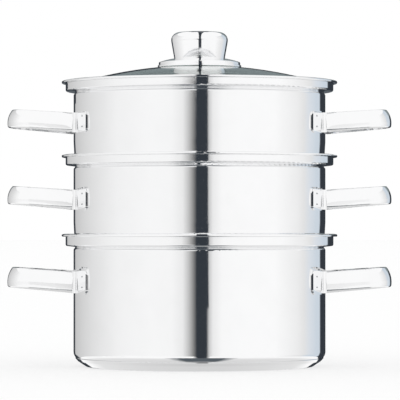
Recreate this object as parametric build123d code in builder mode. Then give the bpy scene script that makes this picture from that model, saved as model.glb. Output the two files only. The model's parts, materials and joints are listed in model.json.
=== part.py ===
"""Three-tier stainless steel steamer pot: a base pot, two steamer tiers and a glass lid.

Everything is in millimetres, +Z up. The origin is the middle of the flat underside of
the pot, and the loop handles point along -X and +X.
"""
from build123d import *
import os
from math import acos, asin, cos, radians, sin, sqrt, tan

os.makedirs("parts", exist_ok=True)

# Pressed steel vessels
pan_bore = 220.0              # the diameter that the set is sold by, inside the wall
wall_sheet = 0.6              # thickness of the pressed steel
collar_gap = 7.0              # how far the collar stands outside the wall
collar_corner = 0.9           # inside radius where the collar turns into the ledge
ledge_fall = 1.2              # how far the ledge drops towards the neck
neck_inset = 3.2              # unrounded neck corner, inside the wall
neck_corner = 1.2             # rounding of the neck's nose
shoulder_drop = 2.4           # from the neck corner down to the wall
shoulder_corner = 1.4         # rounding where the shoulder meets the wall

# Rolled lip
lip_reach = 4.0               # from the inside of the collar to the tip
lip_crown = 1.5               # unrounded top corner above the tip's middle
lip_tip_rise = 0.75           # upper corner of the tip above its middle
lip_tip_drop = 1.15           # lower corner of the tip below its middle
lip_crown_corner = 1.2
lip_tip_corner = 0.8
lip_tuck_gap = 0.4            # between the tucked edge and the collar

# Heights of the three vessels, measured at the tip of each lip
pot_lip_height = 115.0
lower_pitch = 69.4            # from the pot's lip to the lower steamer's lip
upper_pitch = 64.8            # from there to the upper steamer's lip
pot_collar_depth = 8.7        # from the lip's tip to the collar's inside corner
steamer_collar_depth = 7.4

# Steamer floors and seats
seat_clearance = 0.3          # between a tier or the lid and the ledge that carries it
steamer_taper = 1.2           # how much the wall draws in at the foot
taper_height = 22.0           # height of the drawn-in stretch above the foot
taper_corner = 40.0
steamer_corner = 3.0          # inside radius between floor and wall
hole_diameter = 5.0           # steam holes
hole_pitch = 15.5             # from ring to ring
hole_rings = 5
holes_per_ring_step = 6       # each ring has this many more holes than the last

# Sandwich base of the pot
core_thickness = 4.7
cap_sheet = 0.5
pot_corner = 7.4              # inside radius between floor and wall
cap_foot_radius = 99.3        # flat part of the underside
cap_rim_inset = 1.6           # rim of the cap, inside the pot's wall
cap_wrap = 3.5                # straight stretch of the cap below its rim
cap_corner = 3.0
corner_room_share = 0.45      # most of a straight run that a corner's rounding may take
bond_gap = 0.1                # braze between the cap and what it wraps

# Loop handles
handle_sheet = 1.2
handle_reach = 57.8           # from the wall to the outermost edge
handle_rise = 4.3             # how much higher the outer end is than the root
handle_half_width = 30.5      # from the middle of the loop to the face of an arm, at the root
arm_turn = 8.0                # degrees by which the arms draw together outwards
loop_corner = 21.0            # radius in plan where an arm turns
loop_corner_turn = 58.0       # degrees of that turn
end_middle_share = 0.5        # place of the outermost section along the end arc
root_stand_off = 2.6          # where the folded edges start, outside the wall
root_lean = 0.8               # bottom edge outside the top edge, at the root
end_lean = 2.8                # the same at the outer end
root_crown = 0.35             # outward bow of the band, at the root
end_crown = 2.0
root_flare = 1.3              # extra height of the band at the root
fold_depth = 5.0              # folded upper and lower edges of the band
root_fold_corner = 3.8        # rounding of the folded edges, at the root
fold_corner = 1.6             # the same at the outer end
fold_corner_share = 0.8       # most of the fold's depth that its rounding may take
root_overlap = 0.4            # how far the foot's sheet runs into the band
bend_radius = 2.2             # where the arm turns into the foot
weld_gap = 0.1
foot_end = 54.8               # far edge of a foot, from the middle of the loop
foot_margin = 0.9             # foot taller than the band, above and below
foot_corner = 4.0
weld_spot_offset = 47.5       # spot welds, from the middle of the loop
weld_spot_spacing = 9.2
weld_spot_radius = 1.5
weld_spot_depth = 0.5
pot_handle_height = 17.7
steamer_handle_height = 16.0
pot_handle_drop = 40.8        # from the lip's tip to the middle of the foot
lower_handle_drop = 38.4
upper_handle_drop = 36.1

# Glass lid and its steel rim
rim_clearance = 1.3           # between the rim and the collar
rim_sheet = 0.5
rim_corner = 1.5
rim_top_corner = 1.0
rim_bottom_flap = 7.0
rim_top_flap = 5.6
glass_thickness = 3.5
dome_radius = 380.0
glass_side_gap = 0.4          # bedding between glass and rim
glass_seat_gap = 0.3
glass_top_gap = 0.15

# Steam vent in the glass
vent_offset = 60.0            # from the middle of the lid
vent_bore = 3.6
vent_wall = 0.7
vent_flange_radius = 4.3
vent_flange = 0.6
vent_gap = 0.1

# Knob
knob_height = 23.9            # above the skirt
knob_foot_radius = 22.2
knob_top_radius = 25.0        # at the shoulder
knob_shoulder_height = 16.0   # above the skirt; the flare runs straight on to the top
knob_crown = 1.6              # rise of the top over its edge
knob_corner = 7.0
knob_sheet = 0.8
knob_gap = 0.1
core_base_height = 3.0
boss_radius = 7.5
boss_height = 15.0
skirt_radius = 36.7           # over the bead on its edge
skirt_bead = 0.9              # how far the bead stands out
skirt_bead_height = 1.9
skirt_side_height = 2.6
skirt_crown = 3.3             # rise of the skirt from its edge to its top
crown_middle_share = 0.5      # a point between edge and seat, and how much of the rise it has
crown_rise_share = 0.6
skirt_sheet = 0.8
skirt_clearance = 0.2         # between the skirt's edge and the glass
seal_radius = 10.0
lower_seal_thickness = 1.5
washer_radius = 8.5
washer_thickness = 1.0
seal_gap = 0.05
screw_radius = 2.0
screw_clearance = 0.2
thread_gap = 0.05
screw_head_radius = 4.4
screw_head_height = 2.4
screw_slot_width = 1.0
screw_slot_depth = 1.2
screw_engagement = 11.0       # how far the screw reaches into the knob
glass_hole_clearance = 1.2

cut_overrun = 2.0
pick_margin = 0.1             # when a corner is picked by its place

# Sizes that follow from the ones above
wall_radius = pan_bore / 2
outside_radius = wall_radius + wall_sheet
collar_radius = wall_radius + collar_gap
steamer_foot_radius = wall_radius - steamer_taper
pot_floor = cap_sheet + core_thickness + wall_sheet
lower_lip_height = pot_lip_height + lower_pitch
upper_lip_height = lower_lip_height + upper_pitch


def ledge_points(lip_height, collar_depth):
    """Inside corners of a vessel's ledge: collar corner, neck corner and shoulder."""
    corner = Vector(collar_radius, lip_height - collar_depth)
    neck = Vector(wall_radius - neck_inset, corner.Y - ledge_fall)
    shoulder = Vector(wall_radius, neck.Y - shoulder_drop)
    return corner, neck, shoulder


def round_centre(before, corner, after, radius):
    """Centre of the arc that rounds a corner between two straight runs."""
    to_before = (before - corner).normalized()
    to_after = (after - corner).normalized()
    half_angle = radians(to_before.get_angle(to_after)) / 2
    return corner + (to_before + to_after).normalized() * (radius / sin(half_angle))


def roomy_radius(before, corner, after, radius):
    """Radius that rounds a corner, limited by the shorter of its two straight runs."""
    to_before = before - corner
    to_after = after - corner
    half_angle = radians(to_before.get_angle(to_after)) / 2
    room = corner_room_share * min(to_before.length, to_after.length)
    return min(radius, room * tan(half_angle))


def seated_floor(lip_height, collar_depth):
    """Underside of a steamer whose rounded foot rests on the ledge of the vessel below."""
    nose = round_centre(*ledge_points(lip_height, collar_depth), neck_corner)
    foot_round = steamer_corner + wall_sheet
    foot_centre_radius = steamer_foot_radius - steamer_corner
    between_centres = foot_round + neck_corner + seat_clearance
    sideways = foot_centre_radius - nose.X
    return nose.Y + sqrt(between_centres**2 - sideways**2) - foot_round


def vessel_shell(lip_height, collar_depth, floor_points, floor_radii):
    """A pressed vessel: floor, wall, neck, ledge, collar and rolled lip in one sheet."""
    corner, neck, shoulder = ledge_points(lip_height, collar_depth)
    lip_radius = collar_radius + lip_reach
    points = floor_points + [
        shoulder,
        neck,
        corner,
        (collar_radius, lip_height + lip_crown),
        (lip_radius, lip_height + lip_tip_rise),
        (lip_radius, lip_height - lip_tip_drop),
        (collar_radius + wall_sheet + lip_tuck_gap, lip_height - lip_tip_drop),
    ]
    radii = floor_radii + [
        shoulder_corner,
        neck_corner,
        collar_corner,
        lip_crown_corner,
        lip_tip_corner,
        lip_tip_corner,
    ]
    with BuildPart() as shell:
        with BuildSketch(Plane.XZ):
            with BuildLine():
                FilletPolyline(*points, radius=radii)
                offset(amount=wall_sheet, side=Side.RIGHT)
            make_face()
        revolve(axis=Axis.Z)
    return shell.part


def steamer_shell(lip_height, floor_underside):
    """A steamer tier: its wall draws in towards a perforated floor."""
    floor = floor_underside + wall_sheet
    floor_points = [
        (0, floor),
        (steamer_foot_radius, floor),
        (wall_radius, floor + taper_height),
    ]
    pressed = vessel_shell(
        lip_height, steamer_collar_depth, floor_points, [steamer_corner, taper_corner]
    )
    with BuildPart() as shell:
        add(pressed)
        with BuildSketch(Plane.XY.offset(floor)):
            Circle(hole_diameter / 2)
            for ring in range(1, hole_rings + 1):
                with PolarLocations(ring * hole_pitch, ring * holes_per_ring_step):
                    Circle(hole_diameter / 2)
        extrude(amount=-wall_sheet, mode=Mode.SUBTRACT)
    return shell.part


def band_section(plane, height, lean, crown, corner):
    """Section of a handle's band: a bowed face with both edges folded inwards."""
    top = (-lean / 2, height / 2)
    bottom = (lean / 2, -height / 2)
    with BuildSketch(plane) as section:
        with BuildLine() as outline:
            Line((-lean / 2 - fold_depth, height / 2), top)
            ThreePointArc(top, (crown, 0), bottom)
            Line(bottom, (lean / 2 - fold_depth, -height / 2))
            face_ends = outline.vertices().sort_by(Axis.X)[-2:]
            fillet(face_ends, min(corner, fold_corner_share * fold_depth))
            offset(amount=handle_sheet, side=Side.RIGHT)
        make_face()
    return section.sketch


def loop_handle(root_height, height):
    """Loop handle on the +X side: a folded band whose two ends lie flat on the wall."""
    plate_inside = outside_radius + weld_gap
    plate_outside = plate_inside + handle_sheet
    draw = radians(arm_turn)
    face_y = handle_half_width + root_stand_off * tan(draw)
    face_x = sqrt(plate_outside**2 - face_y**2)
    root_x = face_x + root_stand_off
    root_band_height = height + root_flare
    band_reach = outside_radius + handle_reach - root_x - end_crown
    tilt = asin(handle_rise / band_reach)
    # The end arc closes the loop: its radius shrinks by end_draw for each length of the arm
    heading = radians(arm_turn + loop_corner_turn)
    end_bulge = 1 - sin(heading)
    end_draw = sin(draw) / cos(heading)
    widest_end = (handle_half_width - loop_corner * (cos(draw) - cos(heading))) / cos(heading)
    corner_reach = loop_corner * (sin(heading) - sin(draw))
    arm_length = (band_reach - corner_reach - widest_end * end_bulge) / (cos(draw) - end_draw * end_bulge)
    end_radius = widest_end - end_draw * arm_length
    arm_end = (arm_length * cos(draw), arm_length * sin(draw) - handle_half_width)
    loop_plane = Plane(
        origin=(root_x, 0, root_height),
        x_dir=(cos(tilt), 0, sin(tilt)),
        z_dir=(-sin(tilt), 0, cos(tilt)),
    )
    with BuildLine(loop_plane) as loop_line:
        arm = Line((0, -handle_half_width), arm_end)
        first = JernArc(arm @ 1, arm % 1, loop_corner, loop_corner_turn)
        end = JernArc(first @ 1, first % 1, end_radius, 2 * (90 - arm_turn - loop_corner_turn))
        second = JernArc(end @ 1, end % 1, loop_corner, loop_corner_turn)
        Line(second @ 1, loop_plane.from_local_coords((0, handle_half_width)))
    loop = loop_line.wire()

    def station(curve, share):
        along = curve % share
        return Plane(curve @ share, x_dir=along.cross(loop_plane.z_dir), z_dir=-along)

    root_shape = (root_band_height, root_lean, root_crown, root_fold_corner)
    sections = [
        band_section(station(arm, 0), *root_shape),
        band_section(station(end, end_middle_share), height, end_lean, end_crown, fold_corner),
        band_section(station(loop, 1), *root_shape),
    ]
    foot_height = root_band_height + 2 * foot_margin
    foot_direction = Vector(sqrt(plate_outside**2 - weld_spot_offset**2), -weld_spot_offset)
    foot_plane = Plane(
        origin=foot_direction + Vector(0, 0, root_height),
        x_dir=(-foot_direction.Y, foot_direction.X, 0),
        z_dir=foot_direction,
    )
    foot_inner_width = weld_spot_offset - handle_half_width
    foot_outer_width = foot_end - weld_spot_offset
    with BuildPart() as foot:
        with BuildSketch(Plane.XY.offset(root_height)):
            with BuildLine() as bend:
                far = (sqrt(plate_outside**2 - foot_end**2), -foot_end)
                corner = (face_x, -face_y)
                middle_y = -(foot_end + face_y) / 2
                middle = (sqrt(plate_outside**2 - middle_y**2), middle_y)
                ThreePointArc(far, middle, corner)
                Line(corner, (root_x + root_overlap, root_overlap * tan(draw) - handle_half_width))
                fillet(bend.vertices().sort_by(Axis.X)[1], bend_radius)
                offset(amount=handle_sheet, side=Side.LEFT)
            make_face()
        extrude(amount=foot_height / 2, both=True)
        with BuildSketch(foot_plane):
            with Locations(((foot_inner_width - foot_outer_width) / 2, 0)):
                RectangleRounded(foot_inner_width + foot_outer_width, foot_height, foot_corner)
            with Locations((foot_inner_width, 0)):
                Rectangle(2 * foot_inner_width, root_band_height)
        extrude(amount=foot_end, both=True, mode=Mode.INTERSECT)
        with BuildSketch(foot_plane):
            with GridLocations(0, weld_spot_spacing, 1, 2):
                Circle(weld_spot_radius)
        extrude(amount=-weld_spot_depth, mode=Mode.SUBTRACT)
    with BuildPart() as handle:
        sweep(sections=sections, path=loop, multisection=True)
        add(foot.part)
        add(mirror(foot.part, about=Plane.XZ, mode=Mode.PRIVATE))
    return handle.part


def finish_piece(name, solid):
    """Label a finished piece and write its STEP file."""
    solid.label = name
    export_step(solid, f"parts/{name}.step")


def handle_pair(name, lip_height, drop, height):
    """The two loop handles of one vessel."""
    right = loop_handle(lip_height - drop, height)
    left = mirror(right, about=Plane.YZ)
    finish_piece(f"{name}_handle_right", right)
    finish_piece(f"{name}_handle_left", left)


# Pot
pot_floor_points = [(0, pot_floor), (wall_radius, pot_floor)]
pot_shell = vessel_shell(pot_lip_height, pot_collar_depth, pot_floor_points, [pot_corner])
finish_piece("pot_shell", pot_shell)
handle_pair("pot", pot_lip_height, pot_handle_drop, pot_handle_height)

# Sandwich base: a steel cap pressed over an aluminium core and up round the pot's corner
core_top = cap_sheet + core_thickness
core_inset = cap_sheet + bond_gap
corner_round = pot_corner + wall_sheet
corner_middle = Vector(wall_radius - pot_corner, core_top + corner_round)
rim_distance = corner_round + core_inset
rim_turn = acos((outside_radius - cap_rim_inset - corner_middle.X) / rim_distance)
cap_middle = Vector(0, 0)
cap_foot = Vector(cap_foot_radius, 0)
cap_rim = corner_middle + Vector(cos(rim_turn), -sin(rim_turn)) * rim_distance
cap_bend = cap_rim - Vector(sin(rim_turn), cos(rim_turn)) * cap_wrap
cap_radii = [
    roomy_radius(cap_middle, cap_foot, cap_bend, cap_corner),
    roomy_radius(cap_foot, cap_bend, cap_rim, cap_corner),
]
with BuildLine() as cap_underside:
    FilletPolyline(cap_middle, cap_foot, cap_bend, cap_rim, radius=cap_radii)
with BuildPart() as base_cap:
    with BuildSketch(Plane.XZ):
        with BuildLine():
            add(cap_underside.line)
            offset(amount=cap_sheet, side=Side.LEFT)
        make_face()
    revolve(axis=Axis.Z)
finish_piece("base_cap", base_cap.part)

with BuildPart() as base_core:
    with BuildSketch(Plane.XZ):
        with BuildLine() as core_edge:
            offset(cap_underside.wire(), amount=core_inset, side=Side.LEFT, closed=False)
            middle_end = core_edge.vertices().sort_by(Axis.X)[0]
            rim_end = core_edge.vertices().sort_by(Axis.Y)[-1]
            Polyline(rim_end, (0, rim_end.Y), middle_end)
        make_face()
    revolve(axis=Axis.Z)
    split(bisect_by=Plane.XY.offset(core_top), keep=Keep.BOTTOM)
finish_piece("base_core", base_core.part)

# Steamer tiers
tiers = [
    ("lower", lower_lip_height, pot_lip_height, pot_collar_depth, lower_handle_drop),
    ("upper", upper_lip_height, lower_lip_height, steamer_collar_depth, upper_handle_drop),
]
for tier, lip_height, carrier_lip_height, carrier_collar_depth, drop in tiers:
    underside = seated_floor(carrier_lip_height, carrier_collar_depth)
    finish_piece(f"{tier}_steamer_shell", steamer_shell(lip_height, underside))
    handle_pair(f"{tier}_steamer", lip_height, drop, steamer_handle_height)

# Lid rim, resting on the upper steamer's ledge
rim_radius = collar_radius - rim_clearance
rim_corner_radius = rim_radius - rim_corner
ledge_outer, ledge_inner, _ = ledge_points(upper_lip_height, steamer_collar_depth)
ledge_slope = (ledge_outer.Y - ledge_inner.Y) / (ledge_outer.X - ledge_inner.X)
ledge_height = ledge_inner.Y + ledge_slope * (rim_corner_radius - ledge_inner.X)
rim_stand = (rim_corner + seat_clearance) * sqrt(1 + ledge_slope**2) - rim_corner
rim_bottom = ledge_height + rim_stand

glass_radius = rim_radius - rim_sheet - glass_side_gap
glass_underside = rim_bottom + rim_sheet + glass_seat_gap
inner_dome_radius = dome_radius - glass_thickness
dome_centre = glass_underside - sqrt(inner_dome_radius**2 - glass_radius**2)
dome_top = dome_centre + dome_radius
glass_edge_top = dome_centre + sqrt(dome_radius**2 - glass_radius**2)
edge_slope = asin(glass_radius / dome_radius)
flap_height = glass_edge_top + (glass_top_gap + rim_sheet) / cos(edge_slope)
rim_corner_height = flap_height - (rim_radius - glass_radius) * tan(edge_slope)
flap_end_radius = rim_radius - rim_top_flap
flap_end_height = rim_corner_height + rim_top_flap * tan(edge_slope)
with BuildPart() as lid_rim:
    with BuildSketch(Plane.XZ):
        with BuildLine():
            FilletPolyline(
                (rim_radius - rim_bottom_flap, rim_bottom),
                (rim_radius, rim_bottom),
                (rim_radius, rim_corner_height),
                (flap_end_radius, flap_end_height),
                radius=[rim_corner, rim_top_corner],
            )
            offset(amount=rim_sheet, side=Side.LEFT)
        make_face()
    revolve(axis=Axis.Z)
finish_piece("lid_rim", lid_rim.part)

# Domed glass, with a hole for the knob's screw and one for the vent
glass_hole_radius = screw_radius + glass_hole_clearance
vent_outer_radius = vent_bore / 2 + vent_wall
vent_tilt = asin(vent_offset / (dome_radius - glass_thickness / 2))
vent_direction = Vector(0, sin(vent_tilt), cos(vent_tilt))
dome_middle = Vector(0, 0, dome_centre)
vent_top = Plane(
    origin=dome_middle + vent_direction * (dome_radius + vent_gap),
    x_dir=(1, 0, 0),
    z_dir=vent_direction,
)
vent_under = vent_top.offset(-glass_thickness - 2 * vent_gap)
with BuildPart() as lid_glass:
    with BuildSketch(Plane.XZ):
        with BuildLine():
            outer_start = (0, dome_top)
            outer_end = (glass_radius, glass_edge_top)
            inner_start = (0, dome_top - glass_thickness)
            inner_end = (glass_radius, glass_underside)
            RadiusArc(outer_start, outer_end, dome_radius)
            Line(outer_end, inner_end)
            RadiusArc(inner_end, inner_start, -inner_dome_radius)
            Line(inner_start, outer_start)
        make_face()
    revolve(axis=Axis.Z)
    with BuildSketch(Plane.XY.offset(dome_top + cut_overrun)):
        Circle(glass_hole_radius)
    extrude(amount=-glass_thickness - 2 * cut_overrun, mode=Mode.SUBTRACT)
    with BuildSketch(vent_top.offset(cut_overrun)):
        Circle(vent_outer_radius + vent_gap)
    extrude(amount=-glass_thickness - 2 * cut_overrun, mode=Mode.SUBTRACT)
finish_piece("lid_glass", lid_glass.part)

with BuildPart() as vent_eyelet:
    with BuildSketch(vent_top):
        Circle(vent_flange_radius)
        Circle(vent_bore / 2, mode=Mode.SUBTRACT)
    extrude(amount=vent_flange)
    with BuildSketch(vent_top):
        Circle(vent_outer_radius)
        Circle(vent_bore / 2, mode=Mode.SUBTRACT)
    extrude(amount=-glass_thickness - 2 * vent_gap)
    with BuildSketch(vent_under):
        Circle(vent_flange_radius)
        Circle(vent_bore / 2, mode=Mode.SUBTRACT)
    extrude(amount=-vent_flange)
finish_piece("vent_eyelet", vent_eyelet.part)

# Knob: a dished skirt on the glass, and a pressed cap over a moulded core
dome_at_skirt = dome_centre + sqrt(dome_radius**2 - skirt_radius**2)
skirt_low = dome_at_skirt + skirt_clearance
skirt_side_radius = skirt_radius - skirt_bead
skirt_edge_low = skirt_low + skirt_bead_height
skirt_edge_high = skirt_edge_low + skirt_side_height
skirt_top = skirt_edge_high + skirt_crown
knob_seat_radius = knob_foot_radius + knob_gap


def skirt_outline(side_radius, edge_high, top):
    """One side of the skirt's section, from its bead's level to its middle."""
    crown_middle = (
        knob_seat_radius + (side_radius - knob_seat_radius) * crown_middle_share,
        edge_high + (top - edge_high) * crown_rise_share,
    )
    return crown_middle, (knob_seat_radius, top)


with BuildPart() as knob_skirt:
    with BuildSketch(Plane.XZ) as skirt_profile:
        with BuildLine():
            hole_radius = screw_radius + screw_clearance
            bore_top = (hole_radius, skirt_top)
            bore_low = (hole_radius, skirt_top - skirt_sheet)
            outer_edge = (skirt_side_radius, skirt_edge_high)
            inner_edge = (skirt_side_radius - skirt_sheet, skirt_edge_high - skirt_sheet)
            outer_middle, outer_seat = skirt_outline(*outer_edge, skirt_top)
            inner_middle, inner_seat = skirt_outline(*inner_edge, skirt_top - skirt_sheet)
            Line(bore_top, outer_seat)
            ThreePointArc(outer_seat, outer_middle, outer_edge)
            Polyline(
                outer_edge,
                (skirt_side_radius, skirt_edge_low),
                (skirt_radius, skirt_edge_low),
                (skirt_radius, skirt_low),
                (skirt_side_radius - skirt_sheet, skirt_low),
                inner_edge,
            )
            ThreePointArc(inner_edge, inner_middle, inner_seat)
            Polyline(inner_seat, bore_low, bore_top)
        make_face()
        bead_corners = skirt_profile.vertices().group_by(Axis.X)[-1]
        fillet(bead_corners, skirt_bead / 2)
        fillet(
            skirt_profile.vertices().filter_by_position(
                Axis.X, skirt_side_radius - pick_margin, skirt_side_radius + pick_margin
            ).sort_by(Axis.Y)[-1],
            skirt_bead,
        )
    revolve(axis=Axis.Z)
finish_piece("knob_skirt", knob_skirt.part)

knob_edge = skirt_top + knob_height - knob_crown
knob_flare = (knob_top_radius - knob_foot_radius) / knob_shoulder_height
knob_edge_radius = knob_foot_radius + knob_flare * (knob_edge - skirt_top)
with BuildPart() as knob_cap:
    with BuildSketch(Plane.XZ):
        with BuildLine() as cap_line:
            Line((knob_foot_radius, skirt_top), (knob_edge_radius, knob_edge))
            TangentArc(
                (0, skirt_top + knob_height), (knob_edge_radius, knob_edge), tangent=(1, 0)
            )
            fillet(cap_line.vertices().sort_by(Axis.X)[-1], knob_corner)
            offset(amount=knob_sheet, side=Side.LEFT)
        make_face()
    revolve(axis=Axis.Z)
finish_piece("knob_cap", knob_cap.part)

# Moulded core that closes the cap and takes the screw
core_radius = knob_foot_radius - knob_sheet - knob_gap
with BuildPart() as knob_core:
    with BuildSketch(Plane.XY.offset(skirt_top)):
        Circle(core_radius)
    extrude(amount=core_base_height)
    with BuildSketch(Plane.XY.offset(skirt_top)):
        Circle(boss_radius)
    extrude(amount=boss_height)
    with BuildSketch(Plane.XY.offset(skirt_top)):
        Circle(screw_radius + thread_gap)
    extrude(amount=screw_engagement + screw_clearance, mode=Mode.SUBTRACT)
finish_piece("knob_core", knob_core.part)


def washer(name, low, high, radius):
    """A flat ring round the screw."""
    with BuildPart() as ring:
        with BuildSketch(Plane.XY.offset(low)):
            Circle(radius)
            Circle(screw_radius + screw_clearance, mode=Mode.SUBTRACT)
        extrude(amount=high - low)
    finish_piece(name, ring.part)


# Silicone seals above and below the glass, a steel washer and the screw
glass_low = dome_centre + sqrt(inner_dome_radius**2 - seal_radius**2)
lower_seal_top = glass_low - seal_gap
washer_top = lower_seal_top - lower_seal_thickness
head_top = washer_top - washer_thickness
washer("knob_seal_upper", dome_top + seal_gap, skirt_top - skirt_sheet, seal_radius)
washer("knob_seal_lower", washer_top, lower_seal_top, seal_radius)
washer("lid_washer", head_top, washer_top, washer_radius)

with BuildPart() as knob_screw:
    with BuildSketch(Plane.XY.offset(head_top)):
        Circle(screw_head_radius)
    extrude(amount=-screw_head_height)
    fillet(knob_screw.edges().sort_by(Axis.Z)[0], screw_head_height / 2)
    with BuildSketch(Plane.XY.offset(head_top)):
        Circle(screw_radius)
    extrude(amount=skirt_top + screw_engagement - head_top)
    with BuildSketch(Plane.XY.offset(head_top - screw_head_height)):
        Rectangle(2 * (screw_head_radius + cut_overrun), screw_slot_width)
    extrude(amount=screw_slot_depth, mode=Mode.SUBTRACT)
finish_piece("knob_screw", knob_screw.part)
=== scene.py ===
import json
from math import cos, radians, sin

import bpy
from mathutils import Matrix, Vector

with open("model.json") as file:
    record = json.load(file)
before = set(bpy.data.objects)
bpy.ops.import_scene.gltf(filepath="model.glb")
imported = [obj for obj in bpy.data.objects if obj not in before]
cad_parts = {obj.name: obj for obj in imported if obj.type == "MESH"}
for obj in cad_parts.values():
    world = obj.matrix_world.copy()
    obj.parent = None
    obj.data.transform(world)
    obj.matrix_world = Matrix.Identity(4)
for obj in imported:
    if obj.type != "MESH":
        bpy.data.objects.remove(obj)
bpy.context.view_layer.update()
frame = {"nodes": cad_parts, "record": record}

nodes = frame["nodes"]

# Photograph
IMAGE_WIDTH_PX = 400
AXIS_PX = 199.5
HORIZON_PX = 229.0
GROUND_PX = 366.1
IMAGE_MIDDLE_PX = IMAGE_WIDTH_PX / 2
METRES_PER_PX = 0.000879
CAMERA_DISTANCE = 2.60
SENSOR_MM = 36.0

# Studio distances in metres; heights are of the point that a card bends round
FAR_RADIUS = 40.0
RING_RADIUS = 2.2
GROUND_GAP_RADIUS = 2.0
CARD_HEIGHT = 0.12
KNOB_RADIUS = 0.5
KNOB_BACK_RADIUS = 0.12
KNOB_HEIGHT = 0.28
OVERHEAD_GAP_SIDES = (-0.020, 0.056)
KNOB_BACK_SIDES = (-0.024, 0.024)
HANDLE_FLAG_NEAR = 0.115
HANDLE_FLAG_FAR = 0.180
FLOOR_SIZE = 60.0
CARD_STEPS = 32
STRIP_STEPS = 64

# Edges of the cards, in degrees of rise
STRAIGHT_DOWN = -90
GROUND_GAP_FOOT = -70
LOW_GAP_FOOT = -26
RING_TOP = -24
LOWER_FLAG_FOOT = -17
SWEEP_FOOT = -8.5
SWEEP_TOP = 3.2
UPPER_FLAG_TOP = 10
HIGH_FLAG_TOP = 34
OVERHEAD_GAP_RISES = (-28, 118)
KNOB_LEFT_RISES = (-3.5, 10)
KNOB_BACK_RISES = (112, 178)
HANDLE_FLAG_RISES = (138, 172)

# Edges of the cards, in degrees of turn: 0 is towards the camera and 90 is +X
BACK = 180
SWEEP_LEFT = -15
SWEEP_RIGHT = 20
FLAG_EDGE = 70
KNOB_LEFT_EDGE = -143
LOW_GAP_TURNS = (-5, 9)
GROUND_GAP_TURNS = (-32, 36)

# Light
DARK = (0.035, 0.042, 0.052)
SOFT_DARK = (0.10, 0.115, 0.13)
GLASS_GREY = (0.24, 0.28, 0.29)
BLUE_GREY = (0.62, 0.69, 0.76)
PALE_BLUE = (0.72, 0.76, 0.81)
WHITE = (1.0, 1.0, 1.0, 1.0)
WORLD_STRENGTH = 1.0
FLOOR_GLOW_SHARE = 0.6

# Sockets that a node lists by number only
MIX_FIRST, MIX_SECOND, MIX_COLOUR = 6, 7, 2
ACROSS, UP = 0, 1

BUMP_DEPTH = 0.0001


def mesh_object(name, points, faces):
    mesh = bpy.data.meshes.new(name)
    mesh.from_pydata(points, [], faces)
    mesh.update()
    piece = bpy.data.objects.new(name, mesh)
    bpy.context.scene.collection.objects.link(piece)
    return piece


def opaque(tint):
    return (*tint, 1.0)


def shaded(tint, share):
    return tuple(channel * share for channel in tint)


class Graph:
    """A material's node tree, with short calls for the nodes used here."""

    def __init__(self, name):
        self.material = bpy.data.materials.new(name)
        self.material.use_nodes = True
        self.tree = self.material.node_tree
        self.tree.nodes.clear()
        self.output = self.add("ShaderNodeOutputMaterial")

    def add(self, kind, **settings):
        node = self.tree.nodes.new(kind)
        for key, value in settings.items():
            setattr(node, key, value)
        return node

    def feed(self, socket, value):
        if isinstance(value, bpy.types.NodeSocket):
            self.tree.links.new(value, socket)
        else:
            socket.default_value = value

    def feed_all(self, node, values):
        for socket, value in zip(node.inputs, values):
            self.feed(socket, value)
        return node.outputs[0]

    def math(self, operation, *values):
        return self.feed_all(self.add("ShaderNodeMath", operation=operation), values)

    def remap(self, value, source, target):
        return self.feed_all(self.add("ShaderNodeMapRange"), (value, *source, *target))

    def mix(self, share, first, second):
        node = self.add("ShaderNodeMix", data_type="RGBA")
        self.feed(node.inputs[0], share)
        self.feed(node.inputs[MIX_FIRST], first)
        self.feed(node.inputs[MIX_SECOND], second)
        return node.outputs[MIX_COLOUR]

    def noise(self, vector, scale, detail=2.0, roughness=0.5):
        node = self.add("ShaderNodeTexNoise")
        self.feed(node.inputs["Vector"], vector)
        node.inputs["Scale"].default_value = scale
        node.inputs["Detail"].default_value = detail
        node.inputs["Roughness"].default_value = roughness
        return node.outputs["Fac"]

    def where(self):
        """Place in the object's own space."""
        return self.add("ShaderNodeTexCoord").outputs["Object"]

    def turned_lines(self, where, stretch, scale, detail=2.0):
        """Noise drawn out round the axis, as spinning or turning leaves it."""
        split = self.add("ShaderNodeSeparateXYZ")
        self.feed(split.inputs[0], where)
        x, y, z = split.outputs
        x_squared = self.math("MULTIPLY", x, x)
        y_squared = self.math("MULTIPLY", y, y)
        radius = self.math("SQRT", self.math("ADD", x_squared, y_squared))
        turn = self.math("MULTIPLY", self.math("ARCTAN2", y, x), stretch)
        lines_at = self.feed_all(self.add("ShaderNodeCombineXYZ"), (turn, radius, z))
        return self.noise(lines_at, scale, detail)

    def bump(self, height, strength):
        node = self.add("ShaderNodeBump")
        node.inputs["Strength"].default_value = strength
        node.inputs["Distance"].default_value = BUMP_DEPTH
        self.feed(node.inputs["Height"], height)
        return node.outputs[0]

    def shader(self, **inputs):
        node = self.add("ShaderNodeBsdfPrincipled")
        for key, value in inputs.items():
            self.feed(node.inputs[key.replace("_", " ")], value)
        self.feed(self.output.inputs[0], node.outputs[0])
        return node


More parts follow.
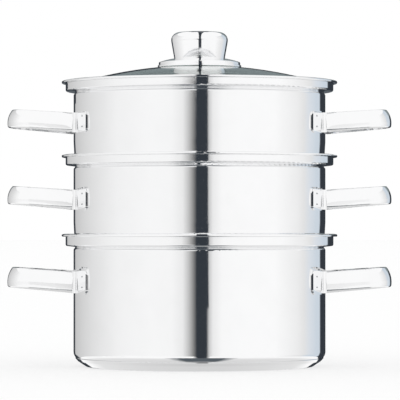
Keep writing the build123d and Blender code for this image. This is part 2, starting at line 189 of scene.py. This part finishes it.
def polished_steel(name):
    """Mirror-polished stainless steel: faint spun lines and a little smearing."""
    tint, dulled = (0.955, 0.957, 0.962), 0.985
    gloss, smear_rough, spun_rough = 0.035, 0.02, 0.015
    spun_stretch, spun_scale, spun_relief = 0.4, 700.0, 0.02
    smear_scale, smear_detail, smear_breakup = 45.0, 3.0, 0.55
    graph = Graph(name)
    where = graph.where()
    spun = graph.turned_lines(where, spun_stretch, spun_scale)
    smear = graph.noise(where, smear_scale, smear_detail, smear_breakup)
    smeared = graph.remap(smear, (0.35, 0.7), (gloss, gloss + smear_rough))
    rough = graph.math("ADD", smeared, graph.remap(spun, (0.4, 0.7), (0.0, spun_rough)))
    share = graph.remap(smear, (0.4, 0.7), (0.0, 1.0))
    colour = graph.mix(share, opaque(tint), opaque(shaded(tint, dulled)))
    relief = graph.bump(spun, spun_relief)
    graph.shader(Base_Color=colour, Metallic=1.0, Roughness=rough, Normal=relief)
    return graph.material


def plain_metal(name, tint, rough, grain):
    """Unpolished metal, with fine turned lines round the axis."""
    dulled, added_rough = 0.9, 0.1
    stretch, detail, line_relief = 0.2, 3.0, 0.15
    graph = Graph(name)
    lines = graph.turned_lines(graph.where(), stretch, grain, detail)
    colour = graph.mix(lines, opaque(tint), opaque(shaded(tint, dulled)))
    roughness = graph.remap(lines, (0.3, 0.7), (rough, rough + added_rough))
    relief = graph.bump(lines, line_relief)
    graph.shader(Base_Color=colour, Metallic=1.0, Roughness=roughness, Normal=relief)
    return graph.material


def clear_glass(name):
    """Clear toughened glass, a little green and faintly smeared."""
    clean, smeared = (0.90, 0.955, 0.935), (0.87, 0.94, 0.92)
    smear_scale, smear_detail, smear_breakup, smear_rough = 60.0, 4.0, 0.6, 0.04
    refraction = 1.5
    graph = Graph(name)
    smear = graph.noise(graph.where(), smear_scale, smear_detail, smear_breakup)
    rough = graph.remap(smear, (0.45, 0.8), (0.0, smear_rough))
    share = graph.remap(smear, (0.3, 0.7), (0.0, 1.0))
    shader = graph.shader(Base_Color=graph.mix(share, opaque(clean), opaque(smeared)), Roughness=rough)
    shader.inputs["Transmission Weight"].default_value = 1.0
    shader.inputs["IOR"].default_value = refraction
    return graph.material


def moulded(name, tint, rough, grain):
    """A moulded plastic or rubber, with a fine grain."""
    grain_detail, grain_breakup, grain_relief, added_rough = 4.0, 0.6, 0.2, 0.12
    lightened, lift = 1.15, 0.01
    graph = Graph(name)
    fine = graph.noise(graph.where(), grain, grain_detail, grain_breakup)
    light = tuple(min(1.0, channel * lightened + lift) for channel in tint)
    roughness = graph.remap(fine, (0.3, 0.7), (rough, rough + added_rough))
    relief = graph.bump(fine, grain_relief)
    colour = graph.mix(fine, opaque(tint), opaque(light))
    graph.shader(Base_Color=colour, Roughness=roughness, Normal=relief)
    return graph.material


finishes = {
    "polished_steel": polished_steel("polished_steel"),
    "clear_glass": clear_glass("clear_glass"),
    "aluminium_core": plain_metal("aluminium_core", tint=(0.86, 0.86, 0.87), rough=0.3, grain=1500.0),
    "screw_steel": plain_metal("screw_steel", tint=(0.70, 0.70, 0.71), rough=0.25, grain=2500.0),
    "moulded_core": moulded("moulded_core", tint=(0.02, 0.02, 0.022), rough=0.45, grain=900.0),
    "silicone": moulded("silicone", tint=(0.62, 0.62, 0.60), rough=0.4, grain=500.0),
}
for part in frame["record"]["subparts"]:
    mesh_materials = nodes[part["node"]].data.materials
    mesh_materials.clear()
    mesh_materials.append(finishes[part["material_slot"]])


def glow(name, stops_at, channel):
    """Card material: light levels across the card or up it, at shares from 0 to 1."""
    graph = Graph(name)
    ramp = graph.add("ShaderNodeValToRGB")
    across = graph.add("ShaderNodeSeparateXYZ")
    graph.feed(across.inputs[0], graph.add("ShaderNodeTexCoord").outputs["UV"])
    graph.feed(ramp.inputs[0], across.outputs[channel])
    stops = ramp.color_ramp.elements
    while len(stops) < len(stops_at):
        stops.new(0.5)
    for stop, (place, level) in zip(stops, stops_at):
        stop.position = place
        stop.color = opaque(level if isinstance(level, tuple) else (level, level, level))
    emission = graph.add("ShaderNodeEmission")
    graph.feed(emission.inputs[0], ramp.outputs[0])
    graph.feed(graph.output.inputs[0], emission.outputs[0])
    return graph.material


def show_in_reflections(piece):
    """Hides a card from the camera and keeps its light off matt surfaces."""
    piece.visible_camera = False
    piece.visible_diffuse = False
    piece.visible_shadow = False


def card(name, turns, rises, levels, upward=False, radius=FAR_RADIUS, height=CARD_HEIGHT):
    """A curved studio card seen only in reflections.

    Levels are pairs of degrees and light, along the turn, or along the rise if upward.
    """
    low, high = rises if upward else turns
    shares = [((angle - low) / (high - low), level) for angle, level in levels]
    points, faces, across = [], [], []
    for row in range(CARD_STEPS + 1):
        rise = radians(rises[0] + (rises[1] - rises[0]) * row / CARD_STEPS)
        for column in range(CARD_STEPS + 1):
            turn = radians(turns[0] + (turns[1] - turns[0]) * column / CARD_STEPS)
            points.append((
                radius * cos(rise) * sin(turn),
                -radius * cos(rise) * cos(turn),
                radius * sin(rise) + height,
            ))
            across.append((column / CARD_STEPS, row / CARD_STEPS))
    width = CARD_STEPS + 1
    for row in range(CARD_STEPS):
        for column in range(CARD_STEPS):
            first = row * width + column
            faces.append((first, first + 1, first + width + 1, first + width))
    piece = mesh_object(name, points, faces)
    layer = piece.data.uv_layers.new(name="across")
    for loop in piece.data.loops:
        layer.data[loop.index].uv = across[loop.vertex_index]
    piece.data.materials.append(glow(name, shares, UP if upward else ACROSS))
    show_in_reflections(piece)


def overhead_strip(name, sides, rises, level, radius=KNOB_RADIUS, height=KNOB_HEIGHT):
    """A strip of even width in an arc over the set: rise 0 is in front and 180 is behind."""
    points = []
    for row in range(STRIP_STEPS + 1):
        rise = radians(rises[0] + (rises[1] - rises[0]) * row / STRIP_STEPS)
        for side in sides:
            points.append((side, -radius * cos(rise), radius * sin(rise) + height))
    faces = [(2 * row, 2 * row + 1, 2 * row + 3, 2 * row + 2) for row in range(STRIP_STEPS)]
    piece = mesh_object(name, points, faces)
    piece.data.uv_layers.new(name="across")
    piece.data.materials.append(glow(name, [(0.0, level), (1.0, level)], ACROSS))
    show_in_reflections(piece)


# What the upright walls reflect: a wide gradient with the dark gap round the camera
sweep_rises = (SWEEP_FOOT, SWEEP_TOP)
card("left_sweep", (-BACK, SWEEP_LEFT), sweep_rises, [
    (-BACK, DARK), (-161, DARK), (-157, 0.56), (-115, 0.76),
    (-80, 0.92), (-45, 0.97), (-25, 0.96), (SWEEP_LEFT, 0.86)])
card("front_gap", (SWEEP_LEFT, SWEEP_RIGHT), sweep_rises, [
    (SWEEP_LEFT, 0.86), (-9.5, 0.55), (-5, 0.22), (-2.5, DARK),
    (6.4, DARK), (8.6, 0.62), (12, 0.86), (SWEEP_RIGHT, 0.98)])
card("right_sweep", (SWEEP_RIGHT, BACK), sweep_rises, [
    (SWEEP_RIGHT, 0.98), (40, 1.0), (72, 1.0), (100, 0.88), (110, 0.80),
    (119, PALE_BLUE), (134, BLUE_GREY), (142, BLUE_GREY), (145, DARK), (BACK, DARK)])

# The same gap for the knob, close to it so that the handles miss it, and on over the top
overhead_strip("overhead_gap", OVERHEAD_GAP_SIDES, OVERHEAD_GAP_RISES, DARK)
card("knob_left_flag", (-BACK, KNOB_LEFT_EDGE), KNOB_LEFT_RISES,
     [(-BACK, DARK), (KNOB_LEFT_EDGE, DARK)], radius=KNOB_RADIUS, height=KNOB_HEIGHT)
overhead_strip("knob_back_flag", KNOB_BACK_SIDES, KNOB_BACK_RISES, SOFT_DARK,
               radius=KNOB_BACK_RADIUS)

# Dark behind the handles, for the rounded upper edges of their arms
overhead_strip("right_handle_flag", (HANDLE_FLAG_NEAR, HANDLE_FLAG_FAR), HANDLE_FLAG_RISES,
               SOFT_DARK, height=CARD_HEIGHT)
overhead_strip("left_handle_flag", (-HANDLE_FLAG_FAR, -HANDLE_FLAG_NEAR), HANDLE_FLAG_RISES,
               SOFT_DARK, height=CARD_HEIGHT)

# The gap widens towards the ground, where the pot's lower corner reflects it
low_gap_left, low_gap_right = LOW_GAP_TURNS
card("low_gap", LOW_GAP_TURNS, (LOW_GAP_FOOT, SWEEP_FOOT),
     [(low_gap_left, 0.7), (-2.5, DARK), (6, DARK), (low_gap_right, 0.7)])
ground_gap_left, ground_gap_right = GROUND_GAP_TURNS
card("ground_gap", GROUND_GAP_TURNS, (GROUND_GAP_FOOT, RING_TOP),
     [(ground_gap_left, 0.8), (-18, SOFT_DARK), (22, SOFT_DARK), (ground_gap_right, 0.8)],
     radius=GROUND_GAP_RADIUS)

# Flags beside and behind the set, above and below the sweep
FLAGS = (
    ("upper", (SWEEP_TOP, UPPER_FLAG_TOP), DARK),
    ("high", (UPPER_FLAG_TOP, HIGH_FLAG_TOP), GLASS_GREY),
    ("lower", (LOWER_FLAG_FOOT, SWEEP_FOOT), DARK),
)
for name, rises, shade in FLAGS:
    card(f"right_{name}_flag", (FLAG_EDGE, BACK), rises, [
        (FLAG_EDGE, 1.0), (106, 0.80), (119, BLUE_GREY), (142, BLUE_GREY),
        (146, shade), (BACK, shade)])
    card(f"left_{name}_flag", (-BACK, -FLAG_EDGE), rises, [
        (-BACK, shade), (-158, shade), (-154, 0.60), (-110, 0.78), (-FLAG_EDGE, 1.0)])

# Grey low down, for the edges and corners that face the ground
card("low_ring", (-BACK, BACK), (STRAIGHT_DOWN, RING_TOP),
     [(STRAIGHT_DOWN, 0.60), (-50, 0.74), (-34, 0.78), (RING_TOP, 1.0)],
     upward=True, radius=RING_RADIUS)


def white_floor():
    """Paper that also glows to the camera, so that it stays as white as the photograph's."""
    paper_tint, paper_scale, paper_detail = (0.98, 0.98, 0.98), 300.0, 3.0
    half = FLOOR_SIZE / 2
    corners = [(-half, -half, 0), (half, -half, 0), (half, half, 0), (-half, half, 0)]
    floor = mesh_object("floor", corners, [(0, 1, 2, 3)])
    graph = Graph("floor_white")
    paper = graph.noise(graph.where(), paper_scale, paper_detail)
    paper_shader = graph.shader(Base_Color=graph.mix(paper, opaque(paper_tint), WHITE), Roughness=1.0)
    paper_glow = graph.add("ShaderNodeEmission")
    paper_glow.inputs[0].default_value = WHITE
    seen = graph.add("ShaderNodeLightPath").outputs["Is Camera Ray"]
    share = graph.math("MULTIPLY", seen, FLOOR_GLOW_SHARE)
    mixed = graph.feed_all(
        graph.add("ShaderNodeMixShader"), (share, paper_shader.outputs[0], paper_glow.outputs[0]))
    graph.feed(graph.output.inputs[0], mixed)
    floor.data.materials.append(graph.material)
    floor.visible_glossy = False


def white_world():
    world = bpy.data.worlds.new("studio")
    world.use_nodes = True
    colour, strength, *_ = world.node_tree.nodes["Background"].inputs
    colour.default_value = WHITE
    strength.default_value = WORLD_STRENGTH
    bpy.context.scene.world = world


def photograph_camera():
    """Camera at the photograph's height, distance and framing."""
    view_width = IMAGE_WIDTH_PX * METRES_PER_PX
    camera_data = bpy.data.cameras.new("camera")
    camera_data.sensor_width = SENSOR_MM
    camera_data.lens = SENSOR_MM * CAMERA_DISTANCE / view_width
    camera = bpy.data.objects.new("camera", camera_data)
    bpy.context.scene.collection.objects.link(camera)
    camera_height = (GROUND_PX - HORIZON_PX) * METRES_PER_PX
    side = (IMAGE_MIDDLE_PX - AXIS_PX) * METRES_PER_PX
    target = Vector((side, 0, (GROUND_PX - IMAGE_MIDDLE_PX) * METRES_PER_PX))
    camera.location = (target.x, -CAMERA_DISTANCE, camera_height)
    camera.rotation_euler = (target - camera.location).to_track_quat("-Z", "Y").to_euler()
    bpy.context.scene.camera = camera


white_floor()
white_world()
photograph_camera()
bpy.context.scene.view_settings.view_transform = "Standard"
